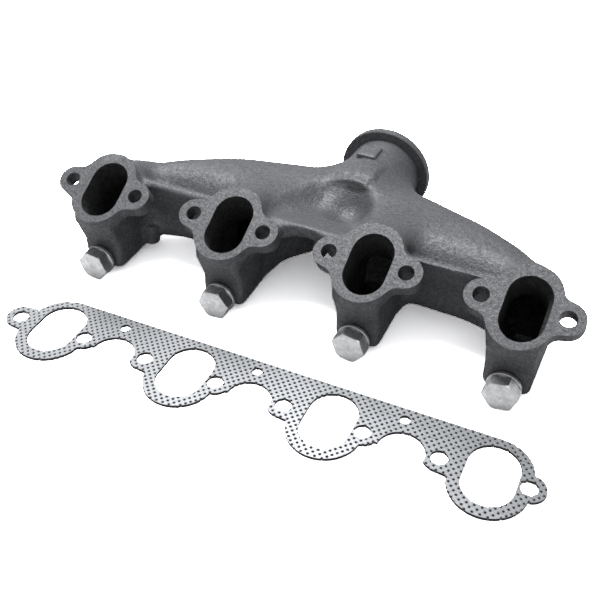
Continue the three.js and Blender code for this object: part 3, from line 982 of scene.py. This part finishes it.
def mixed(tree, share, a, b):
    """Two colours mixed by a share."""
    node = tree.nodes.new("ShaderNodeMix")
    node.data_type = "RGBA"
    tree.links.new(share, node.inputs["Factor"])
    for slot, value in ((6, a), (7, b)):
        if isinstance(value, bpy.types.NodeSocket):
            tree.links.new(value, node.inputs[slot])
        else:
            node.inputs[slot].default_value = value
    return node.outputs[2]


def bump(tree, shader, height, distance, strength=1.0):
    """Feeds a height to the shader's normal."""
    node = tree.nodes.new("ShaderNodeBump")
    node.inputs["Strength"].default_value = strength
    node.inputs["Distance"].default_value = distance
    tree.links.new(height, node.inputs["Height"])
    tree.links.new(node.outputs["Normal"], shader.inputs["Normal"])


def sand_grain_group():
    """Sand grain: fine noise over coarser noise over slow patches. Speck is 0 to 1, Height is 0 to 1."""
    name = "sand_grain"
    if name in bpy.data.node_groups:
        return bpy.data.node_groups[name]
    tree, source, sink = group_with(name, {"Vector": None, "Size": 700.0}, ["Speck", "Height", "Patch"])
    vector = source.outputs["Vector"]
    fine = tree.nodes.new("ShaderNodeTexNoise")
    coarse = tree.nodes.new("ShaderNodeTexNoise")
    slow = tree.nodes.new("ShaderNodeTexNoise")
    for node, share, detail in ((fine, 1.0, 3.0), (coarse, 0.42, 2.0), (slow, 0.045, 3.0)):
        tree.links.new(vector, node.inputs["Vector"])
        tree.links.new(maths(tree, "MULTIPLY", source.outputs["Size"], share), node.inputs["Scale"])
        node.inputs["Detail"].default_value = detail
    both = maths(tree, "ADD", maths(tree, "MULTIPLY", fine.outputs["Fac"], 0.6),
                 maths(tree, "MULTIPLY", coarse.outputs["Fac"], 0.4))
    tree.links.new(spread(tree, both, 0.36, 0.64, 0.0, 1.0), sink.inputs["Speck"])
    tree.links.new(both, sink.inputs["Height"])
    tree.links.new(spread(tree, slow.outputs["Fac"], 0.35, 0.65, 0.0, 1.0), sink.inputs["Patch"])
    return tree


def place_grain(tree, vector, size):
    """The sand grain group, placed in a material."""
    node = tree.nodes.new("ShaderNodeGroup")
    node.node_tree = sand_grain_group()
    tree.links.new(vector, node.inputs["Vector"])
    node.inputs["Size"].default_value = size
    return node


def shade(rgba, factor):
    """A colour made lighter or darker."""
    return tuple(min(1.0, part * factor) for part in rgba[:3]) + (1.0,)


def dress(tree, shader, base, shine, rough, metallic=0.0):
    """Feeds the shader a colour and a roughness that changes over its range with shine, and sets how
    metallic it is."""
    tree.links.new(base, shader.inputs["Base Color"])
    tree.links.new(spread(tree, shine, 0, 1, *rough), shader.inputs["Roughness"])
    shader.inputs["Metallic"].default_value = metallic


def sand_cast_iron(settings):
    """Dark iron as it leaves the sand: speckled, rough, with lighter grains that catch the light."""
    material, tree, shader, vector = new_material("sand_cast_iron")
    grain = place_grain(tree, vector, 620.0)
    dark = mixed(tree, grain.outputs["Patch"], shade(settings.iron, 0.74), shade(settings.iron, 0.95))
    base = mixed(tree, grain.outputs["Speck"], dark, shade(settings.iron, 1.5))
    dress(tree, shader, base, grain.outputs["Speck"], (0.66, 0.48), 0.45)
    bump(tree, shader, grain.outputs["Height"], 0.0009)
    return material


def milled_iron(settings):
    """Machined iron: lighter and flatter, with a fine even grain."""
    material, tree, shader, vector = new_material("milled_iron")
    grain = place_grain(tree, vector, 900.0)
    base = mixed(tree, grain.outputs["Speck"], shade(settings.milled, 0.6), shade(settings.milled, 1.4))
    dress(tree, shader, base, grain.outputs["Speck"], (0.65, 0.5), 0.45)
    bump(tree, shader, grain.outputs["Height"], 0.0008)
    return material


def shaded_port_iron(settings):
    """The iron inside a port: as rough as the core sand, and darkened as painted shade for the dim inside of the
    port.
    """
    material, tree, shader, vector = new_material("shaded_port_iron")
    grain = place_grain(tree, vector, 520.0)
    base = mixed(tree, grain.outputs["Speck"], shade(settings.iron, 0.10), shade(settings.iron, 0.42))
    dress(tree, shader, base, grain.outputs["Patch"], (0.80, 0.62))
    bump(tree, shader, grain.outputs["Height"], 0.0022)
    return material


def plated_steel(settings):
    """Bright satin plated steel with faint scuffs and stains."""
    material, tree, shader, vector = new_material("plated_steel")
    scuff = spread(tree, noise(tree, vector, 240.0, 6.0, 0.65), 0.35, 0.65, 0.0, 1.0)
    base = mixed(tree, scuff, shade(settings.steel, 0.78), shade(settings.steel, 1.05))
    dress(tree, shader, base, scuff, (0.40, 0.27), 1.0)
    bump(tree, shader, noise(tree, vector, 500.0, 2.0), 0.00005)
    return material


def turned_steel(settings):
    """Turned steel washer, duller than the plug."""
    material, tree, shader, vector = new_material("turned_steel")
    scuff = spread(tree, noise(tree, vector, 500.0, 4.0, 0.6), 0.35, 0.65, 0.0, 1.0)
    base = mixed(tree, scuff, shade(settings.washer, 0.75), shade(settings.washer, 1.15))
    dress(tree, shader, base, scuff, (0.42, 0.28), 1.0)
    bump(tree, shader, noise(tree, vector, 1400.0, 3.0), 0.0001)
    return material


def gasket_steel(settings):
    """Thin rolled steel sheet with a soft streak along the row."""
    material, tree, shader, vector = new_material("gasket_steel")
    streak = tree.nodes.new("ShaderNodeMapping")
    streak.inputs["Scale"].default_value = (0.08, 1.0, 1.0)
    tree.links.new(vector, streak.inputs["Vector"])
    rolled = spread(tree, noise(tree, streak.outputs["Vector"], 900.0, 4.0), 0.35, 0.65, 0.0, 1.0)
    base = mixed(tree, rolled, shade(settings.steel, 0.9), shade(settings.steel, 1.1))
    dress(tree, shader, base, rolled, (0.36, 0.27), 0.72)
    bump(tree, shader, noise(tree, vector, 700.0, 3.0), 0.00008)
    return material


def graphite(settings):
    """Pressed graphite: nearly black and matt."""
    material, tree, shader, vector = new_material("graphite")
    flake = spread(tree, noise(tree, vector, 1200.0, 4.0), 0.4, 0.6, 0.0, 1.0)
    base = mixed(tree, flake, shade(settings.core, 0.7), shade(settings.core, 1.9))
    tree.links.new(base, shader.inputs["Base Color"])
    shader.inputs["Roughness"].default_value = 0.75
    bump(tree, shader, flake, 0.0001)
    return material


def seamless_white(settings):
    """The plain floor, brighter for the camera than for the manifold, so that only close shadows show."""
    material, tree, shader, vector = new_material("seamless_white")
    cloud = noise(tree, vector, 3.0, 2.0)
    base = mixed(tree, cloud, shade(settings.floor, 0.99), settings.floor)
    path = tree.nodes.new("ShaderNodeLightPath")
    seen = spread(tree, path.outputs["Is Camera Ray"], 0, 1, 1.0, settings.exposure)
    glossy = spread(tree, path.outputs["Is Glossy Ray"], 0, 1, 1.0, settings.mirrored)
    gain = tree.nodes.new("ShaderNodeVectorMath")
    gain.operation = "SCALE"
    tree.links.new(base, gain.inputs[0])
    tree.links.new(maths(tree, "MULTIPLY", seen, glossy), gain.inputs["Scale"])
    tree.links.new(gain.outputs["Vector"], shader.inputs["Base Color"])
    shader.inputs["Roughness"].default_value = 0.9
    shader.inputs["Specular IOR Level"].default_value = 0.0
    return material


# ---- Stage ---------------------------------------------------------------------------------------

# Two parts of the surround: the way there, and the cosines where each begins and where it is at full strength.
BRIGHT_PANEL = ((-0.62, 0.50, 0.60), 0.86, 0.96)
DARK_PATCH = ((-0.10, 0.67, 0.74), 0.970, 1.0)
SURROUND_GAIN = 4.0
LAMPS = (
    ("key", (-0.25, 0.26, 1.30), (0.0, 0.02, 0.0), 0.55, 24.0),
    ("front", (0.7, -1.4, 0.35), (0.0, 0.0, 0.0), 0.8, 1.8),
)


class MANIFOLD_OT_stage(bpy.types.Operator):
    """Set up the camera, a plain pale floor and soft studio light"""

    bl_idname = "manifold.stage"
    bl_label = "Stage"

    def execute(self, context):
        settings = context.scene.manifold_stage
        camera = bpy.data.objects.new("camera", bpy.data.cameras.new("camera"))
        camera.data.lens = settings.focal
        camera.data.sensor_width = 36.0
        camera.data.clip_end = 20.0
        camera.location = Vector(settings.eye) + Vector((ROW_X, HOLE_Y, 0))
        camera.rotation_euler = (math.radians(90) - settings.pitch, 0, settings.turn)
        context.scene.collection.objects.link(camera)
        context.scene.camera = camera
        corners = np.array([[-4, -4, 0], [4, -4, 0], [4, 4, 0], [-4, 4, 0]], float)
        floor = new_object("floor", corners, [(0, 1, 2, 3)])
        floor.data.materials.append(seamless_white(settings))
        self.lights(context)
        context.scene.world = studio_world(settings)
        context.scene.view_settings.view_transform = "Standard"
        return {"FINISHED"}

    def lights(self, context):
        """A key light above and a little behind, and a weak one low in front."""
        for name, place, aim, size, power in LAMPS:
            lamp = bpy.data.lights.new(name, "AREA")
            lamp.shape = "SQUARE"
            lamp.size = size
            lamp.energy = power
            made = bpy.data.objects.new(name, lamp)
            made.location = place
            made.rotation_euler = (Vector(aim) - Vector(place)).to_track_quat("-Z", "Y").to_euler()
            context.scene.collection.objects.link(made)


def studio_world(settings):
    """Soft light from all round, with a bright panel behind on the left and a darker patch high up behind."""
    world = bpy.data.worlds.new("studio")
    world.use_nodes = True
    tree = world.node_tree
    sky = tree.nodes["Background"]
    direction = tree.nodes.new("ShaderNodeTexCoord").outputs["Generated"]
    colours = settings.sky
    for (aim, low, high), tint in ((BRIGHT_PANEL, settings.bright), (DARK_PATCH, settings.dark)):
        toward = tree.nodes.new("ShaderNodeVectorMath")
        toward.operation = "DOT_PRODUCT"
        toward.inputs[1].default_value = aim
        tree.links.new(direction, toward.inputs[0])
        colours = mixed(tree, spread(tree, toward.outputs["Value"], low, high, 0.0, 1.0), colours, tint)
    strong = tree.nodes.new("ShaderNodeVectorMath")
    strong.operation = "SCALE"
    strong.inputs["Scale"].default_value = SURROUND_GAIN
    tree.links.new(colours, strong.inputs[0])
    tree.links.new(strong.outputs["Vector"], sky.inputs["Color"])
    sky.inputs["Strength"].default_value = settings.sky_strength
    return world


# ---- Panel ---------------------------------------------------------------------------------------

OPERATORS = (MANIFOLD_OT_stage, MANIFOLD_OT_casting, MANIFOLD_OT_plugs, MANIFOLD_OT_washers, MANIFOLD_OT_gasket)
SETTINGS = {
    "manifold_stage": StageSettings,
    "manifold_casting": CastingSettings,
    "manifold_plugs": PlugSettings,
    "manifold_gasket": GasketSettings,
}


class MANIFOLD_PT_panel(bpy.types.Panel):
    """The operators and their settings"""

    bl_label = "Exhaust Manifold"
    bl_space_type = "VIEW_3D"
    bl_region_type = "UI"
    bl_category = "Manifold"

    def draw(self, context):
        for operator in OPERATORS:
            self.layout.operator(operator.bl_idname)
        for name, group in SETTINGS.items():
            box = self.layout.box()
            for field in group.__annotations__:
                box.prop(getattr(context.scene, name), field)


def register():
    for group in SETTINGS.values():
        bpy.utils.register_class(group)
    for name, group in SETTINGS.items():
        setattr(bpy.types.Scene, name, bpy.props.PointerProperty(type=group))
    for operator in OPERATORS:
        bpy.utils.register_class(operator)
    bpy.utils.register_class(MANIFOLD_PT_panel)


def unregister():
    bpy.utils.unregister_class(MANIFOLD_PT_panel)
    for operator in reversed(OPERATORS):
        bpy.utils.unregister_class(operator)
    for name in SETTINGS:
        delattr(bpy.types.Scene, name)
    for group in SETTINGS.values():
        bpy.utils.unregister_class(group)


def main():
    """Builds everything in order."""
    register()
    bpy.ops.manifold.stage()
    bpy.ops.manifold.casting()
    bpy.ops.manifold.plugs()
    bpy.ops.manifold.washers()
    bpy.ops.manifold.gasket()


if __name__ == "__main__":
    main()
